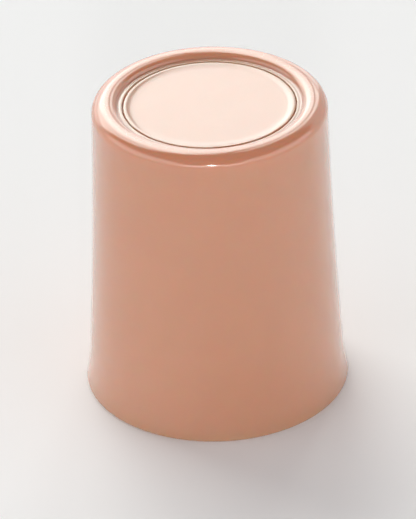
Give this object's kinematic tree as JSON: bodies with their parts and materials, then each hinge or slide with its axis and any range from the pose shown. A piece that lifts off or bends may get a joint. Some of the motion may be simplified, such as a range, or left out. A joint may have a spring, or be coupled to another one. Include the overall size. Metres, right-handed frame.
{
  "type": "dappen dish",
  "caption": "Small round double-walled cup with a flared mouth, a round-bottomed well for liquids and a rounded foot ring around a flush base disc, stored mouth down.",
  "frame": {"origin": "centre of the rim's plane, which the dish rests on when it is stored mouth down", "axes": "+Z along the dish's axis, from the rim to the base; turn it over to use it"},
  "size_m": [0.036, 0.036, 0.0429],
  "materials": {
    "shell": "glossy moulded peach plastic",
    "cup": "satin moulded peach plastic, solvent-proof",
    "disc": "glossy moulded peach plastic"
  },
  "bodies": {
    "root": {"outer_shell": "shell", "inner_cup": "cup", "base_disc": "disc"}
  },
  "joints": []
}
